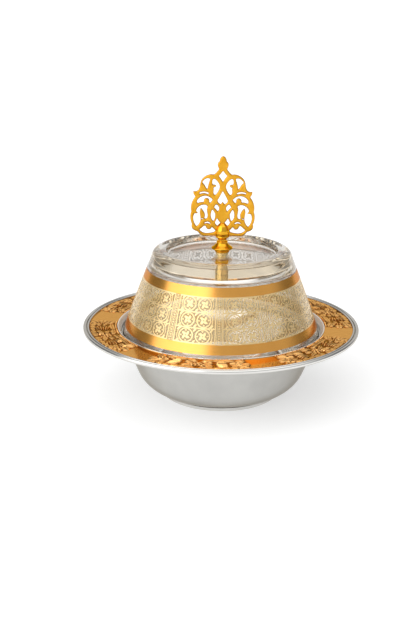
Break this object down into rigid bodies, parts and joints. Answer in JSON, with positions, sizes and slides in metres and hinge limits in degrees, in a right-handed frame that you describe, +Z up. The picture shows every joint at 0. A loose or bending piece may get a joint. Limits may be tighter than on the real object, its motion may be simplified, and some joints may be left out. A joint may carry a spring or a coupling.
{
  "type": "lidded date dish",
  "caption": "Round steel serving bowl on a foot ring, with a wide gold-banded flange and a tapered glass lid that lifts off by a pierced finial.",
  "frame": {"origin": "middle of the circle that the foot ring stands on", "axes": "+Z up along the dish's axis, +X along the plaque's width, -Y towards the viewer of the picture"},
  "size_m": [0.25, 0.25, 0.2178],
  "materials": {
    "polished_steel": "mirror polished",
    "embossed_gold": "polished, with pressed leaves",
    "clear_glass": "clear, pressed",
    "clear_silicone": "soft, milky",
    "polished_gold": "polished",
    "satin_gold": "satin cast",
    "plain_steel": "plain threaded rod"
  },
  "bodies": {
    "dish": {"dish_bowl": "polished_steel", "rim_band": "embossed_gold", "foot_ring": "polished_steel"},
    "lid": {"lid_glass": "clear_glass", "hole_sleeve": "clear_silicone", "upper_gasket": "clear_silicone", "lower_gasket": "clear_silicone"},
    "finial": {"finial_stem": "polished_gold", "finial_plaque": "satin_gold", "finial_stud": "plain_steel", "clamp_washer": "polished_gold", "cap_nut": "polished_gold"}
  },
  "joints": [
    {"name": "lid_lift", "type": "slide", "parent": "dish", "child": "lid", "axis": [0, 0, 1], "range_m": [0, 0.15]},
    {"name": "finial_turn", "type": "hinge", "parent": "lid", "child": "finial", "pos_m": [0, 0, 0.1252], "axis": [0, 0, 1], "continuous": true}
  ]
}
